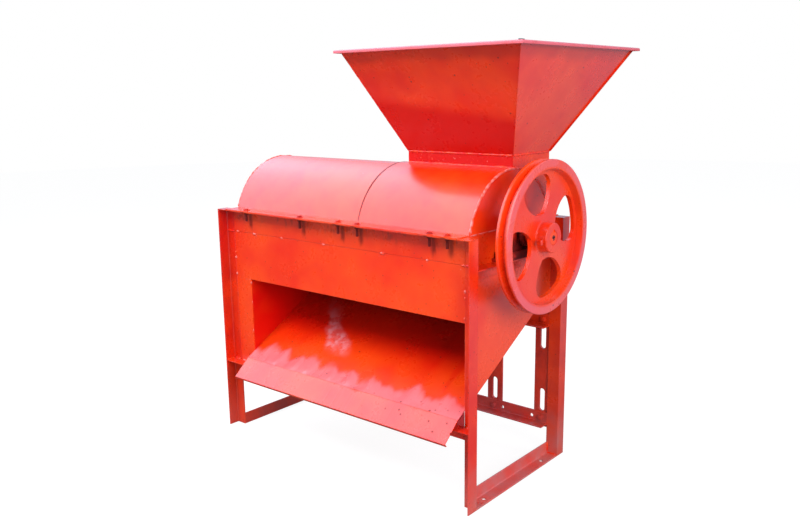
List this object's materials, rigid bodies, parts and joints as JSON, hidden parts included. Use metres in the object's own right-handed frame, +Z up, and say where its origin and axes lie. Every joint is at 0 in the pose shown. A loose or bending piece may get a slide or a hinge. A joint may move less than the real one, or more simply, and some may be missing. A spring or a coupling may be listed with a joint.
{
  "type": "corn sheller",
  "caption": "Corn sheller on an angle-iron stand: peg drum under an arched cover, tapered hopper, sloping grain chute, belt pulley and slotted motor posts.",
  "frame": {"origin": "floor level, midway between the four legs, which is also the centre of the anchor holes", "axes": "+X along the rotor shaft towards the pulley, +Y from the grain chute to the motor posts, +Z up"},
  "size_m": [1.198, 0.747, 1.277],
  "materials": {
    "frame_paint": "glossy orange-red paint on mill-scale angle iron",
    "panel_paint": "glossy orange-red paint on sheet steel, worn on the chute",
    "cover_paint": "high-gloss orange-red paint on rolled sheet",
    "hopper_paint": "glossy orange-red paint on welded sheet",
    "pulley_paint": "orange-red paint on cast iron, the groove painted too",
    "bearing_paint": "red paint on cast iron, greasy",
    "fastener_paint": "overpainted hexagon bolts with bare edges",
    "bare_steel": "turned and ground steel",
    "worn_steel": "hot-rolled steel polished by the crop on its edges"
  },
  "bodies": {
    "frame": {"bearing_bolts": "fastener_paint", "bearing_nuts": "fastener_paint", "chute_divider": "panel_paint", "chute_sill": "panel_paint", "cover_bolts": "fastener_paint", "cover_nuts": "fastener_paint", "front_left_leg": "frame_paint", "front_lower_rail": "frame_paint", "front_panel": "panel_paint", "front_right_leg": "frame_paint", "front_top_rail": "frame_paint", "grain_chute": "panel_paint", "grate_bars": "worn_steel", "grate_ribs": "worn_steel", "grate_side_bars": "worn_steel", "hopper_front_wall": "hopper_paint", "hopper_left_wall": "hopper_paint", "hopper_rear_wall": "hopper_paint", "hopper_right_wall": "hopper_paint", "hopper_throat": "hopper_paint", "inner_motor_post": "frame_paint", "left_base_rail": "frame_paint", "left_bearing_block": "bearing_paint", "left_bearing_outer_ring": "bare_steel", "left_bearing_packing": "bearing_paint", "left_bearing_rail": "frame_paint", "left_cover": "cover_paint", "left_cover_end": "cover_paint", "left_side_plate": "panel_paint", "outer_motor_post": "frame_paint", "passage_strip": "panel_paint", "post_bolts": "fastener_paint", "post_nuts": "fastener_paint", "rear_left_leg": "frame_paint", "rear_lower_rail": "frame_paint", "rear_middle_rail": "frame_paint", "rear_panel": "panel_paint", "rear_right_leg": "frame_paint", "rear_top_rail": "frame_paint", "right_base_rail": "frame_paint", "right_bearing_block": "bearing_paint", "right_bearing_outer_ring": "bare_steel", "right_bearing_packing": "bearing_paint", "right_bearing_rail": "frame_paint", "right_cover": "cover_paint", "right_cover_end": "cover_paint", "right_side_plate": "panel_paint"},
    "rotor": {"drum_discs": "worn_steel", "drum_paddles": "worn_steel", "drum_pegs": "worn_steel", "drum_tube": "worn_steel", "left_bearing_inner_ring": "bare_steel", "pulley": "pulley_paint", "pulley_key": "bare_steel", "right_bearing_inner_ring": "bare_steel", "rotor_shaft": "bare_steel", "set_screw": "fastener_paint"}
  },
  "joints": [
    {"name": "rotor_spin", "type": "hinge", "parent": "frame", "child": "rotor", "pos_m": [0, 0, 0.757], "axis": [1, 0, 0], "continuous": true}
  ]
}
